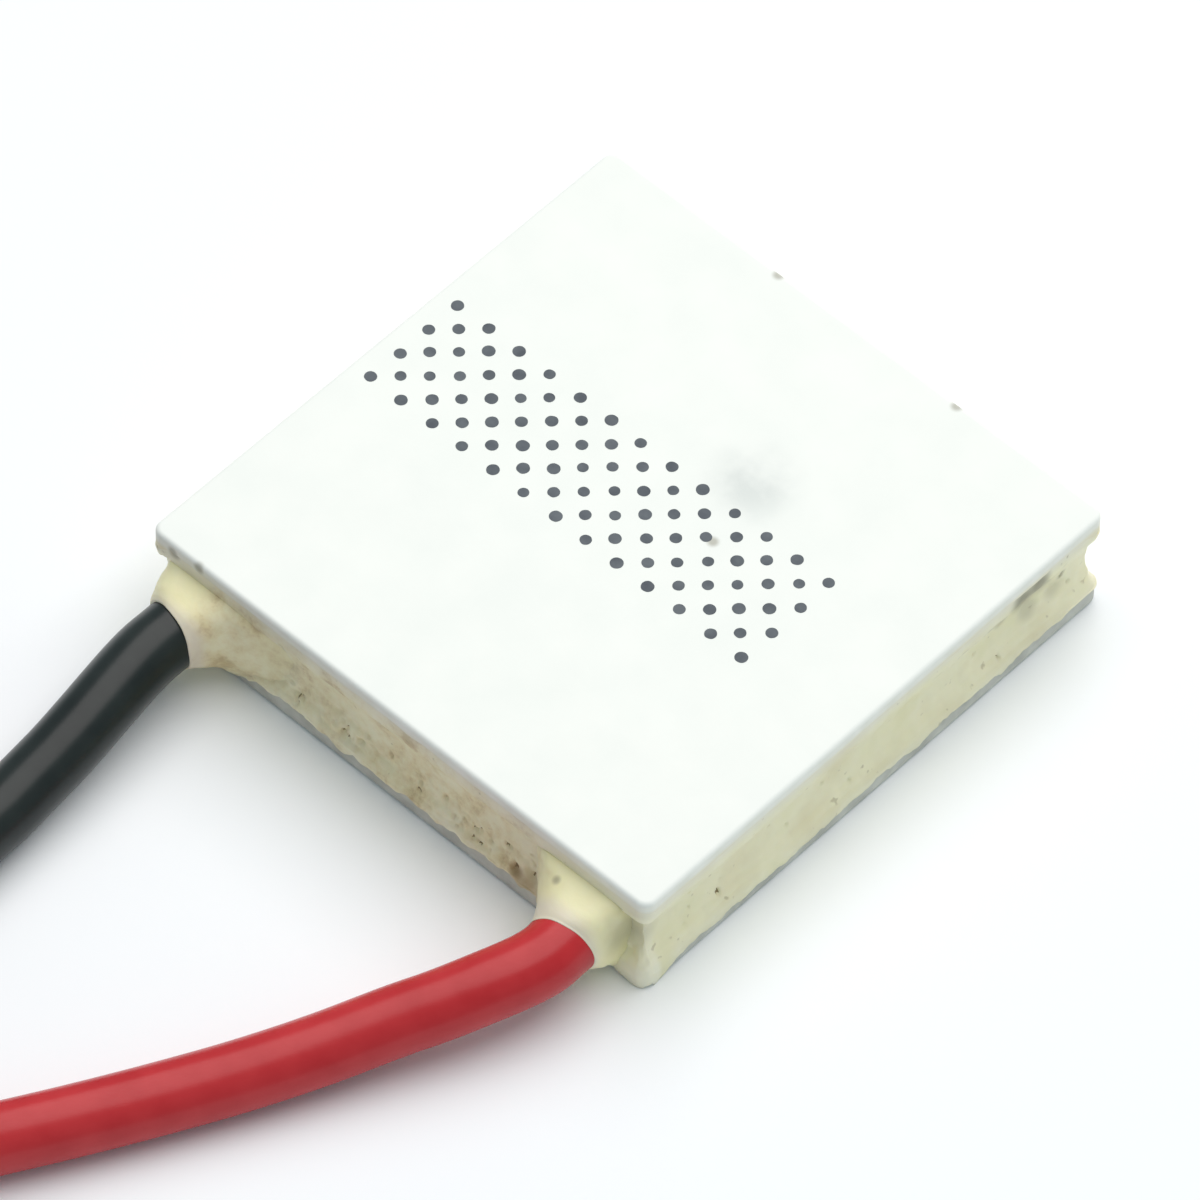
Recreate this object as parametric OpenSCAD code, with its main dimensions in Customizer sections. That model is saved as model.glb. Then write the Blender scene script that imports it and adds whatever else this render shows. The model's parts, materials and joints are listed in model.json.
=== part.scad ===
// Thermoelectric cooling module with two insulated leads.
// The underside of the lower (hot side) plate lies on Z = 0, centred on the origin.
// The leads leave on the -Y side. All sizes are in millimetres.

/* [Plates] */
// Side of each square ceramic plate
plate_side = 15; // [14.6:0.1:16]
// Thickness of each ceramic plate
plate_t = 0.6; // [0.5:0.05:0.8]
// Radius of the plates' upright corners
plate_corner_r = 0.3; // [0.2:0.05:0.5]
// Rounding along the edges of the plates' faces
plate_edge_r = 0.12; // [0.04:0.01:0.15]

/* [Couples] */
// Sites along each side of the square grid
sites = 6; // [4:2:6]
// Distance between neighbouring sites
pitch = 2.4; // [2.2:0.05:2.45]
// Side of a pellet's square section
pellet_w = 1.1; // [0.9:0.05:1.2]
// Height of a pellet
pellet_h = 1.4; // [1:0.1:2]
// Thickness of the copper tabs
tab_t = 0.2; // [0.1:0.05:0.3]
// Copper that shows round a pellet
tab_margin = 0.1; // [0.06:0.01:0.14]
// Radius of the copper tabs' corners
tab_corner_r = 0.2; // [0.1:0.05:0.3]
// Thickness of the solder under and over each pellet
solder_t = 0.05; // [0.03:0.01:0.1]
// Width of the solder that shows round a pellet
solder_margin = 0.04; // [0.01:0.01:0.05]

/* [Sealant] */
// Clearance between the copper tabs and the sealant bead
bead_clearance = 0.05; // [0.02:0.01:0.08]
// Distance of the bead's upper lip from the plates' rim
bead_inset = 0.08; // [0.04:0.02:0.16]
// Distance of the bead's lower lip from the plates' rim
lower_inset = 0.02; // [0.01:0.01:0.08]
// Height of the lower lip's upright face
lower_lip_h = 0.3; // [0.1:0.05:0.5]
// Depth of the hollow that runs along the bead's outer face
bead_hollow = 0.2; // [0.1:0.02:0.24]
// Reach of the sealant dab round a lead, from the plates' rim
dab_reach = 1.1; // [0.8:0.1:1.4]
// Width of the dab where it leaves the bead
dab_w = 2.3; // [2:0.1:2.4]
// Length over which the dab narrows to the lead
dab_slope = 0.55; // [0.4:0.05:0.7]
// Film of sealant round the end of a lead's insulation
dab_film = 0.08; // [0.04:0.01:0.12]

/* [Leads] */
// Diameter over a lead's insulation
lead_d = 1.6; // [1.4:0.05:1.8]
// Diameter of a lead's tinned conductor
core_d = 0.76; // [0.6:0.02:0.9]
// Length of bare tinned conductor at a lead's free end
tip_len = 5; // [4:0.5:6]
// Length of insulated tail between a coil and the bare end
tail_len = 3.5; // [2.5:0.5:4]
// Length of the solder joint along a lead pad
joint_len = 1.6; // [1.2:0.1:1.8]
// Width of the solder joint
joint_w = 1.2; // [1.1:0.02:1.3]
// Radius of the outermost turn of a stored coil, at the lead's axis
coil_r = 10.2; // [9.6:0.1:10.3]
// Clearance between neighbouring turns of a coil
turn_clearance = 0.05; // [0.02:0.01:0.1]
// Turns in the red lead's coil
red_turns = 2.58; // [1.5:0.01:2.7]
// Turns in the black lead's coil
black_turns = 2.4; // [1.5:0.01:2.7]

/* [Hidden] */
$fn = 64;
EPS = 0.01;
SWEEP_SIDES = 8;
DAB_CORNER_R = 0.35;
// Clearance of a dab over the lower plate's rim
DAB_LIFT = 0.03;
TAIL_TURN_IN = 60;

// Heights of the stack, from the underside up
hot_tab_z = plate_t;
hot_solder_z = hot_tab_z + tab_t;
pellet_z = hot_solder_z + solder_t;
cold_solder_z = pellet_z + pellet_h;
cold_tab_z = cold_solder_z + solder_t;
cold_plate_z = cold_tab_z + tab_t;
gap_h = cold_plate_z - plate_t;

// Plan of the couples. Site 0 and the last site carry the leads, the rest a pellet each.
tab_w = pellet_w + 2 * tab_margin;
last_site = sites * sites - 1;
field_half = (sites - 1) / 2 * pitch + tab_w / 2;
pairs = (last_site - 1) / 2;

// The bead's section runs outwards from its inner wall to its lips
bead_wall = field_half + bead_clearance;
bead_w = plate_side / 2 - bead_inset - bead_wall;
hollow_r = (pow(gap_h / 2, 2) + pow(bead_hollow, 2)) / (2 * bead_hollow);

// Leads: where the insulation starts, and how far it falls to the surface
lead_x = (sites - 1) / 2 * pitch;
exit_y = -(plate_side / 2 + dab_reach);
exit_z = plate_t + lead_d / 2;
fall = exit_z - lead_d / 2;
turn_step = lead_d + turn_clearance;
// The red coil lies on the black one, half a turn's width further in
upper_coil_r = coil_r - turn_step / 2;

// Routes of the leads, measured from the exit: [across, along, share of the fall to the
// surface], and last the share of the climb onto the lower coil, where there is one
red_route = [
    [0, 0, 0], [0, -0.5, 0], [-0.15, -1.1, 0.04], [-0.5, -2, 0.14], [-0.9, -2.9, 0.3],
    [-1.35, -3.8, 0.46], [-2.1, -5.4, 0.76], [-2.9, -7, 0.94], [-3.75, -8.6, 1],
    [-4.6, -10.15, 1], [-5.5, -11.7, 1], [-6.3, -13, 1, 0], [-7.2, -14.25, 1, 0.12],
    [-8.2, -15.4, 1, 0.42], [-9.25, -16.55, 1, 0.8], [-10.35, -17.65, 1, 1],
    [-11.5, -18.65, 1, 1], [-12.7, -19.6, 1, 1]
];
black_route = [
    [0, 0, 0], [0, -0.5, 0], [0.05, -1.1, 0.04], [0.15, -1.9, 0.14], [0.25, -2.7, 0.28],
    [0.35, -3.7, 0.48], [0.4, -4.7, 0.68], [0.45, -5.5, 0.82], [0.45, -6.1, 0.9],
    [0.48, -6.7, 0.96], [0.52, -7.3, 1], [0.55, -7.9, 1], [0.57, -8.4, 1], [0.6, -8.9, 1],
    [0.62, -9.35, 1], [0.63, -9.75, 1]
];
// Bearing from each coil's centre to where its lead joins it
red_join = 306;
black_join = 2.5;
// Each stored coil: [lead's place across, route, bearing of the join, turns, radius, layer]
red_coil = [lead_x, red_route, red_join, red_turns, upper_coil_r, 1];
black_coil = [-lead_x, black_route, black_join, black_turns, coil_r, 0];

// Each pellet's name, such as n_pellet_01: odd sites are n-type, even sites p-type
function two_digits(n) = n < 10 ? str("0", n) : str(n);
n_names = [for (k = [1:pairs]) str("n_pellet_", two_digits(k))];
p_names = [for (k = [1:pairs]) str("p_pellet_", two_digits(k))];

// ---- Plan of the series circuit ----

// Column and row of a site: the circuit runs up one column and down the next
function column(site) = floor(site / sites);
function row(site) =
    column(site) % 2 == 0 ? site % sites : sites - 1 - site % sites;
function site_xy(site) =
    [(column(site) - (sites - 1) / 2) * pitch, (row(site) - (sites - 1) / 2) * pitch];

// ---- Plates ----

// Section of a plate's rim: a strip with rounded edges on its outer side
module rim_section(w) {
    square([w - plate_edge_r, plate_t]);
    translate([0, plate_edge_r])
        square([w, plate_t - 2 * plate_edge_r]);
    for (z = [plate_edge_r, plate_t - plate_edge_r])
        translate([w - plate_edge_r, z])
            circle(r = plate_edge_r);
}

// Plate: four strips that run inwards from its sides, and a rounded column at each corner
module ceramic_plate() {
    straight = plate_side - 2 * plate_corner_r;
    for (turn = [0:90:270])
        rotate([0, 0, turn]) {
            rotate([90, 0, 0])
                linear_extrude(straight, center = true)
                    rim_section(plate_side / 2);
            translate([straight / 2, straight / 2, 0])
                rotate_extrude()
                    rim_section(plate_corner_r);
        }
}

module hot_plate() {
    color("white")
        ceramic_plate();
}

module cold_plate() {
    color("white")
        translate([0, 0, cold_plate_z])
            ceramic_plate();
}

// ---- Copper tabs and lead pads ----

// One copper tab that joins two neighbouring sites
module tab(site_a, site_b) {
    a = site_xy(site_a);
    b = site_xy(site_b);
    size = [abs(a.x - b.x) + tab_w, abs(a.y - b.y) + tab_w];
    inner = size - [2 * tab_corner_r, 2 * tab_corner_r];
    translate([(a.x + b.x) / 2, (a.y + b.y) / 2, 0])
        linear_extrude(tab_t) {
            square([size.x, inner.y], center = true);
            square([inner.x, size.y], center = true);
            for (sx = [-1, 1], sy = [-1, 1])
                translate([sx * inner.x / 2, sy * inner.y / 2])
                    circle(r = tab_corner_r);
        }
}

module hot_side_tabs() {
    color("peru")
        translate([0, 0, hot_tab_z])
            for (k = [1:pairs - 1])
                tab(2 * k, 2 * k + 1);
}

module cold_side_tabs() {
    color("peru")
        translate([0, 0, cold_tab_z])
            for (k = [1:pairs])
                tab(2 * k - 1, 2 * k);
}

module positive_lead_pad() {
    color("peru")
        translate([0, 0, hot_tab_z])
            tab(last_site - 1, last_site);
}

module negative_lead_pad() {
    color("peru")
        translate([0, 0, hot_tab_z])
            tab(0, 1);
}

// ---- Pellets and their solder ----

module on_site(site) {
    p = site_xy(site);
    translate([p.x, p.y, 0])
        children();
}

module solder_layer() {
    w = pellet_w + 2 * solder_margin;
    for (site = [1:last_site - 1])
        on_site(site)
            translate([-w / 2, -w / 2, 0])
                cube([w, w, solder_t]);
}

module hot_side_solder() {
    color("silver")
        translate([0, 0, hot_solder_z])
            solder_layer();
}

module cold_side_solder() {
    color("silver")
        translate([0, 0, cold_solder_z])
            solder_layer();
}

module pellet(site) {
    on_site(site)
        translate([-pellet_w / 2, -pellet_w / 2, pellet_z])
            cube([pellet_w, pellet_w, pellet_h]);
}

module n_pellet(k) {
    color("dimgray")
        pellet(2 * k - 1);
}

module p_pellet(k) {
    color("slategray")
        pellet(2 * k);
}

// ---- Sealant ----

// Section of the bead: hollow between its lips, the lower of which comes out almost to the rim
module bead_section() {
    difference() {
        square([bead_w, gap_h]);
        translate([bead_w + hollow_r - bead_hollow, gap_h / 2])
            circle(r = hollow_r, $fn = 128);
    }
    square([plate_side / 2 - lower_inset - bead_wall, lower_lip_h]);
}

// The whole bead: the section run along four sides and turned round four corners
module bead() {
    for (turn = [0:90:270])
        rotate([0, 0, turn])
            translate([0, 0, plate_t]) {
                translate([bead_wall, 0, 0])
                    rotate([90, 0, 0])
                        linear_extrude(2 * bead_wall, center = true)
                            bead_section();
                translate([bead_wall, bead_wall, 0])
                    rotate_extrude(angle = 90)
                        bead_section();
            }
}

// Conductor of a lead, from its insulation to the solder joint
module conductor(x, slack = 0) {
    inner_y = -field_half + joint_len + core_d / 2;
    translate([x, exit_y - slack, exit_z]) {
        rotate([-90, 0, 0])
            cylinder(d = core_d, h = inner_y - exit_y + slack);
        translate([0, inner_y - exit_y + slack, 0])
            sphere(d = core_d);
    }
}

module perimeter_sealant() {
    color("wheat")
        difference() {
            bead();
            conductor(-lead_x);
            conductor(lead_x);
        }
}

// Dab that blends from the bead's hollow to the end of a lead's insulation
module sealant_dab(x) {
    corner_x = dab_w / 2 - DAB_CORNER_R;
    dab_low_z = plate_t + DAB_LIFT + DAB_CORNER_R;
    shoulder_z = cold_plate_z - DAB_LIFT - DAB_CORNER_R;
    difference() {
        hull() {
            for (sx = [-1, 1], z = [dab_low_z, cold_plate_z - DAB_CORNER_R])
                translate([x + sx * corner_x, -plate_side / 2, z])
                    rotate([-90, 0, 0])
                        cylinder(r = DAB_CORNER_R, h = bead_inset + bead_hollow + EPS, $fn = 32);
            for (sx = [-1, 1])
                translate([x + sx * corner_x, exit_y + dab_slope, shoulder_z])
                    sphere(r = DAB_CORNER_R, $fn = 32);
            translate([x, exit_y, exit_z])
                rotate([-90, 0, 0])
                    cylinder(d = lead_d + 2 * dab_film, h = dab_film, $fn = 32);
        }
        bead();
        conductor(x, EPS);
    }
}

module red_lead_sealant() {
    color("palegoldenrod")
        sealant_dab(lead_x);
}

module black_lead_sealant() {
    color("palegoldenrod")
        sealant_dab(-lead_x);
}

// ---- Lead ends inside the module ----

// Arch of solder that holds a conductor on its pad
module solder_joint(x) {
    centre_h = exit_z - hot_solder_z;
    difference() {
        translate([x, -field_half, hot_solder_z])
            rotate([90, 0, 180])
                linear_extrude(joint_len) {
                    translate([-joint_w / 2, 0])
                        square([joint_w, centre_h]);
                    translate([0, centre_h])
                        circle(d = joint_w);
                }
        conductor(x);
    }
}

module red_lead_joint() {
    color("silver")
        solder_joint(lead_x);
}

module black_lead_joint() {
    color("silver")
        solder_joint(-lead_x);
}

module red_lead_conductor() {
    color("lightgray")
        conductor(lead_x);
}

module black_lead_conductor() {
    color("lightgray")
        conductor(-lead_x);
}

// ---- Leads ----

function unit(v) = v / norm(v);
function heading(path, i) =
    unit(path[min(i + 1, len(path) - 1)] - path[max(i - 1, 0)]);
function route_points(route, x) =
    [for (p = route)
        let (climb = len(p) > 3 ? p[3] * turn_step : 0)
        [x + p[0], exit_y + p[1], exit_z - p[2] * fall + climb]];
function ring_points(centre, ahead) =
    let (side = unit(cross(ahead, [0, 0, 1])), up = cross(side, ahead))
    [for (k = [0:SWEEP_SIDES - 1])
        let (a = 360 * k / SWEEP_SIDES)
        centre + lead_d / 2 * (cos(a) * side + sin(a) * up)];

// Tube swept along a list of points, one ring of corners at each
module swept_tube(path) {
    last = len(path) - 1;
    points = [for (i = [0:last], p = ring_points(path[i], heading(path, i))) p];
    near_cap = [[for (k = [0:SWEEP_SIDES - 1]) k]];
    far_cap = [[for (k = [SWEEP_SIDES - 1:-1:0]) last * SWEEP_SIDES + k]];
    walls = [
        for (i = [0:last - 1], k = [0:SWEEP_SIDES - 1])
            let (
                next = (k + 1) % SWEEP_SIDES,
                a = i * SWEEP_SIDES + k,
                b = i * SWEEP_SIDES + next,
                c = a + SWEEP_SIDES,
                d = b + SWEEP_SIDES
            )
            each [[a, c, b], [b, c, d]]
    ];
    polyhedron(points, concat(near_cap, walls, far_cap));
}

// Parts of a stored coil's list
function coil_bearing(coil) = coil[2];
function coil_turns(coil) = coil[3];
function coil_radius(coil) = coil[4];
function coil_base(coil) = coil[5] * turn_step;
function bearing(angle) = [cos(angle), sin(angle)];

// Centre of a stored coil: its outermost turn, clockwise, carries on from the route's end
function route_end(coil) = coil[1][len(coil[1]) - 1];
function coil_run(coil) =
    sqrt(pow(coil_radius(coil) + lead_d / 2, 2) - pow(coil_radius(coil), 2));
function coil_centre(coil) =
    [coil[0] + route_end(coil).x, exit_y + route_end(coil).y]
    + coil_run(coil) * bearing(coil_bearing(coil) - 90)
    - coil_radius(coil) * bearing(coil_bearing(coil));

// Ring that encloses the turns of one stored coil
module coil_ring(coil) {
    outer = coil_radius(coil) + lead_d / 2;
    inner = coil_radius(coil) - coil_turns(coil) * turn_step - lead_d / 2;
    translate(coil_centre(coil))
        translate([0, 0, coil_base(coil)])
            rotate_extrude($fn = 96)
                translate([inner, 0])
                    square([outer - inner, lead_d]);
}

// Places its children at the end of a coil's innermost turn, with Z along the lead.
// The end of a raised coil leans down until its tip rests on the surface.
module at_coil_end(coil) {
    sink = coil_base(coil) > 0 ? coil_base(coil) + (lead_d - core_d) / 2 : 0;
    lean = asin(sink / (tail_len + tip_len - core_d / 2));
    translate(coil_centre(coil))
        rotate([0, 0, coil_bearing(coil) - 360 * coil_turns(coil)])
            translate([
                coil_radius(coil) - coil_turns(coil) * turn_step,
                0,
                coil_base(coil) + lead_d / 2
            ])
                rotate([0, 0, -TAIL_TURN_IN])
                    rotate([90 + lean, 0, 0])
                        children();
}

// Stored coil: its turns in one ring, and the tail that leaves them inwards
module stored_coil(coil) {
    coil_ring(coil);
    at_coil_end(coil)
        cylinder(d = lead_d - turn_clearance, h = tail_len);
}

// Bare tinned end beyond the tail
module bare_tip(coil) {
    at_coil_end(coil)
        translate([0, 0, tail_len]) {
            cylinder(d = core_d, h = tip_len - core_d / 2);
            translate([0, 0, tip_len - core_d / 2])
                sphere(d = core_d);
        }
}

// Uncoiled stretch of a lead, from its exit to its coil
module loose_stretch(coil) {
    difference() {
        swept_tube(route_points(coil[1], coil[0]));
        coil_ring(coil);
    }
}

module red_lead() {
    color("firebrick")
        loose_stretch(red_coil);
}

module black_lead() {
    color("darkslategray")
        loose_stretch(black_coil);
}

module red_lead_coil() {
    color("firebrick")
        stored_coil(red_coil);
}

module black_lead_coil() {
    color("darkslategray")
        stored_coil(black_coil);
}

module red_lead_tip() {
    color("lightgray")
        bare_tip(red_coil);
}

module black_lead_tip() {
    color("lightgray")
        bare_tip(black_coil);
}

hot_plate();
cold_plate();
hot_side_tabs();
cold_side_tabs();
positive_lead_pad();
negative_lead_pad();
hot_side_solder();
cold_side_solder();
for (k = [1:pairs]) n_pellet(k);
for (k = [1:pairs]) p_pellet(k);
perimeter_sealant();
red_lead_sealant();
black_lead_sealant();
red_lead_joint();
black_lead_joint();
red_lead_conductor();
black_lead_conductor();
red_lead();
black_lead();
red_lead_coil();
black_lead_coil();
red_lead_tip();
black_lead_tip();
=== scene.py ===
"""Looks of the thermoelectric module: leads, sealant, plates, ink, light and camera.

Lengths are in millimetres, and MM turns them into the scene's metres.
"""
import json
import math
import random

import bpy
from mathutils import Matrix, Vector, noise


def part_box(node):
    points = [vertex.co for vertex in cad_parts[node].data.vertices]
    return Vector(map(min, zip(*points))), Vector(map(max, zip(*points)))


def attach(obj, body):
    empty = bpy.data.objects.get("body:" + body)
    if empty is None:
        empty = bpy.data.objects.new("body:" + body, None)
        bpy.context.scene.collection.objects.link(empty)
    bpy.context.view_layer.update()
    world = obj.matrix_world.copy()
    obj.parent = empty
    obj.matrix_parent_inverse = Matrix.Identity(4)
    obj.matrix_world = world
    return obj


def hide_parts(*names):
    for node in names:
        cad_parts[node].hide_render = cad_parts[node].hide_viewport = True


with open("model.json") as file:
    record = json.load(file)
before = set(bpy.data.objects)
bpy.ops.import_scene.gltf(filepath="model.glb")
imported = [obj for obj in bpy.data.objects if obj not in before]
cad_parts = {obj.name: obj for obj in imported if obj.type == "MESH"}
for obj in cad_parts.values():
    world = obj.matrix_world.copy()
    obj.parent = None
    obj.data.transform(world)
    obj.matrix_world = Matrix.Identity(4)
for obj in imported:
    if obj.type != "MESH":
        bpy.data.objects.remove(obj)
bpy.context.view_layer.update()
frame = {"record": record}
MM = 0.001

# ---------------------------------------------------------------- sizes, from the CAD nodes
_, HOT_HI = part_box("hot_plate")
COLD_LO, COLD_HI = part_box("cold_plate")
_, SEAL_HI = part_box("perimeter_sealant")
HALF = HOT_HI[0] / MM
GAP_LO = HOT_HI[2] / MM
GAP_HI = COLD_LO[2] / MM
TOP = COLD_HI[2] / MM

# ---------------------------------------------------------------- camera
AZIMUTH, ELEVATION, ROLL = (math.radians(a) for a in (41.55, 53.004, 1.858))
CAMERA_DISTANCE = 265.898 * MM
CAMERA_OFFSET = (-0.639 * MM, -1.77 * MM)
SENSOR, LENS = 36, 360
CLIP_NEAR, CLIP_FAR = 0.01, 10


def make_camera():
    """Long lens aimed near the middle of the upper face, from the photo's direction."""
    right = Vector((math.cos(AZIMUTH), math.sin(AZIMUTH), 0))
    back = Vector((math.sin(AZIMUTH) * math.cos(ELEVATION),
                   -math.cos(AZIMUTH) * math.cos(ELEVATION), math.sin(ELEVATION)))
    up = back.cross(right)
    across = right * math.cos(ROLL) + up * math.sin(ROLL)
    upwards = -right * math.sin(ROLL) + up * math.cos(ROLL)
    data = bpy.data.cameras.new("camera")
    data.lens = LENS
    data.sensor_width = SENSOR
    data.clip_start = CLIP_NEAR
    data.clip_end = CLIP_FAR
    cam = bpy.data.objects.new("camera", data)
    cam.rotation_mode = "QUATERNION"
    cam.rotation_quaternion = Matrix((across, upwards, back)).transposed().to_quaternion()
    cam.location = (Vector((0, 0, TOP * MM)) + back * CAMERA_DISTANCE
                    + across * CAMERA_OFFSET[0] + upwards * CAMERA_OFFSET[1])
    bpy.context.scene.collection.objects.link(cam)
    bpy.context.scene.camera = cam


make_camera()


# ---------------------------------------------------------------- mesh helpers
def add_mesh(name, points, faces, material, smooth=True):
    mesh = bpy.data.meshes.new(name)
    mesh.from_pydata([tuple(p) for p in points], [], faces)
    mesh.validate()
    mesh.update()
    for polygon in mesh.polygons:
        polygon.use_smooth = smooth
    obj = bpy.data.objects.new(name, mesh)
    mesh.materials.append(material)
    bpy.context.scene.collection.objects.link(obj)
    return obj


def grid_faces(rings, sides, close_rings=False):
    """Quads between neighbouring closed rings; close_rings joins the last ring to the first."""
    faces = []
    for i in range(rings if close_rings else rings - 1):
        a, b = i * sides, (i + 1) % rings * sides
        for k in range(sides):
            n = (k + 1) % sides
            faces.append((a + k, a + n, b + n, b + k))
    return faces


def cap_faces(rings, sides, first, last):
    """Triangles from the end rings of a tube to the points that close its first and last end."""
    faces = []
    foot = (rings - 1) * sides
    for k in range(sides):
        n = (k + 1) % sides
        faces.append((k, first, n))
        faces.append((foot + n, last, foot + k))
    return faces


def catmull_rom(points, steps):
    """Smooth line through the points, with that many steps a stretch."""
    padded = [points[0] * 2 - points[1]] + points + [points[-1] * 2 - points[-2]]
    line = []
    for i in range(1, len(padded) - 2):
        a, b, c, d = padded[i - 1:i + 3]
        for s in range(steps):
            t = s / steps
            line.append(0.5 * (2 * b + (c - a) * t + (2 * a - 5 * b + 4 * c - d) * t ** 2
                               + (3 * b - a - 3 * c + d) * t ** 3))
    line.append(points[-1])
    return line


def bezier(a, b, c, d, steps):
    """Points after a on the curve from a to d with the handles b and c."""
    return [a * (1 - t) ** 3 + 3 * b * t * (1 - t) ** 2 + 3 * c * t ** 2 * (1 - t) + d * t ** 3
            for t in (i / steps for i in range(1, steps + 1))]


def sweep(name, line, radii, sides, material):
    """Closed tube along a line, one radius a point, with points at the axis as its caps."""
    points, across = [], None
    for i, p in enumerate(line):
        ahead = (line[min(i + 1, len(line) - 1)] - line[max(i - 1, 0)]).normalized()
        if across is None:
            across = ahead.cross(Vector((0, 0, 1))).normalized()
        across = (across - ahead * across.dot(ahead)).normalized()
        up = across.cross(ahead)
        for k in range(sides):
            a = 2 * math.pi * k / sides
            points.append(p + (across * math.cos(a) + up * math.sin(a)) * radii[i])
    count = len(points)
    points += [line[0], line[-1]]
    faces = grid_faces(len(line), sides) + cap_faces(len(line), sides, count, count + 1)
    return add_mesh(name, points, faces, material)


# ---------------------------------------------------------------- paint helpers
MOTTLE_DETAIL = 4.0
GRAIN_DETAIL = 3.0


def material(name, roughness, specular):
    mat = bpy.data.materials.new(name)
    mat.use_nodes = True
    bsdf = mat.node_tree.nodes["Principled BSDF"]
    bsdf.inputs["Roughness"].default_value = roughness
    bsdf.inputs["Specular IOR Level"].default_value = specular
    return mat, mat.node_tree, bsdf


def node(tree, kind, **inputs):
    """New node with its inputs set; an underscore stands for the space in an input's name."""
    made = tree.nodes.new(kind)
    for key, value in inputs.items():
        made.inputs[key.replace("_", " ")].default_value = value
    return made


def noise_value(tree, coords, scale, detail, roughness=0.5):
    made = node(tree, "ShaderNodeTexNoise", Scale=scale, Detail=detail, Roughness=roughness)
    tree.links.new(coords.outputs["Object"], made.inputs["Vector"])
    return made.outputs["Fac"]


def ramp_colour(tree, value, stops):
    """Colour of a value between the stops, each a place and a linear colour."""
    made = tree.nodes.new("ShaderNodeValToRGB")
    ramp = made.color_ramp
    while len(ramp.elements) < len(stops):
        ramp.elements.new(0.5)
    for element, (place, colour) in zip(ramp.elements, stops):
        element.position = place
        element.color = (*colour, 1)
    tree.links.new(value, made.inputs["Fac"])
    return made.outputs["Color"]


def srgb(*levels):
    """Linear colour of 8-bit display levels."""
    return tuple((v / 255 / 12.92) if v / 255 <= 0.04045 else ((v / 255 + 0.055) / 1.055) ** 2.4
                 for v in levels)


def grey(level):
    return (level,) * 3


def add_grain(tree, bsdf, coords, scale, height):
    """Fine uneven surface, its height in millimetres."""
    grain = noise_value(tree, coords, scale, GRAIN_DETAIL)
    relief = node(tree, "ShaderNodeBump", Strength=1.0, Distance=height * MM)
    tree.links.new(grain, relief.inputs["Height"])
    tree.links.new(relief.outputs["Normal"], bsdf.inputs["Normal"])


def mottled(name, stops, scale, roughness, specular=0.5, grain=None, metallic=0.0):
    """Paint that wanders between the given colours. Grain is a scale and a height."""
    mat, tree, bsdf = material(name, roughness, specular)
    bsdf.inputs["Metallic"].default_value = metallic
    coords = tree.nodes.new("ShaderNodeTexCoord")
    tone = noise_value(tree, coords, scale, MOTTLE_DETAIL)
    tree.links.new(ramp_colour(tree, tone, stops), bsdf.inputs["Base Color"])
    if grain:
        add_grain(tree, bsdf, coords, *grain)
    return mat


def smoothstep(tree, value, low, high):
    """0 on low's side of the stretch between low and high, 1 on high's side, smooth between."""
    made = node(tree, "ShaderNodeMapRange", From_Min=low, From_Max=high)
    made.interpolation_type = "SMOOTHSTEP"
    tree.links.new(value, made.inputs["Value"])
    return made.outputs["Result"]


def past(tree, coords, axis, low, high):
    """Mask that rises from 0 to 1 where the coordinate goes from low to high."""
    split = tree.nodes.new("ShaderNodeSeparateXYZ")
    tree.links.new(coords.outputs["Object"], split.inputs["Vector"])
    return smoothstep(tree, split.outputs[axis], low * MM, high * MM)


def near_point(tree, coords, centre, inner, outer):
    """Mask that is 1 within the inner distance of a point and 0 past the outer one."""
    apart = tree.nodes.new("ShaderNodeVectorMath")
    apart.operation = "DISTANCE"
    tree.links.new(coords.outputs["Object"], apart.inputs[0])
    apart.inputs[1].default_value = [v * MM for v in centre]
    return smoothstep(tree, apart.outputs["Value"], outer * MM, inner * MM)


def mix_colour(tree, factor, first, second):
    """Mix of two colours, each a node output or a plain tuple; the factor is an output."""
    made = tree.nodes.new("ShaderNodeMix")
    made.data_type = "RGBA"
    for socket, value in ((made.inputs["Factor"], factor), (made.inputs["A"], first),
                          (made.inputs["B"], second)):
        if isinstance(value, bpy.types.NodeSocket):
            tree.links.new(value, socket)
        else:
            socket.default_value = (*value, 1)
    return made.outputs["Result"]


def product(tree, result, *factors):
    """A node output times each factor, which is another output or a plain number."""
    for factor in factors:
        made = tree.nodes.new("ShaderNodeMath")
        made.operation = "MULTIPLY"
        tree.links.new(result, made.inputs[0])
        if isinstance(factor, float):
            made.inputs[1].default_value = factor
        else:
            tree.links.new(factor, made.inputs[1])
        result = made.outputs["Value"]
    return result


# ---------------------------------------------------------------- plates' paint
FACE_TONES = [(0.3, srgb(241, 246, 241)), (0.7, srgb(245, 249, 244))]
# Upper plate's rounded rim, painted warmer to cancel the bluish tint the world light gives it
RIM_TONES = [(0.35, srgb(240, 241, 228)), (0.65, srgb(248, 249, 240))]
# Lower plate's sides painted greyer, as shade near the floor
LOWER_SHADE_TONES = [(0.35, srgb(190, 191, 182)), (0.65, srgb(212, 213, 204))]
SMEARED = srgb(238, 232, 202)
SMUDGE = srgb(196, 204, 202)
CHIP = srgb(158, 156, 138)
# Heights from which and to which each tone of the plates' sides comes in, going down
RIM_FADE = (3.09, 2.93)
SMEAR_FADE = (2.9, 2.68)
LOWER_SHADE_FADE = (0.9, 0.7)
# Smudge on the upper face, and chips of its edges, with the distances over which they fade
SMUDGE_AT = (1.25, 2.65, 3.1)
SMUDGE_REACH = (0.2, 1.5)
SMUDGE_LEVEL = 0.5
CHIPS_AT = [(1.75, 0.85, 3.1), (-2.3, 7.42, 3.08), (3.1, 7.42, 3.08), (-6.8, -7.5, 2.85),
            (-6.0, -7.48, 2.97)]
CHIP_REACH = (0.05, 0.2)
CHIP_LEVEL = 0.65


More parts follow.
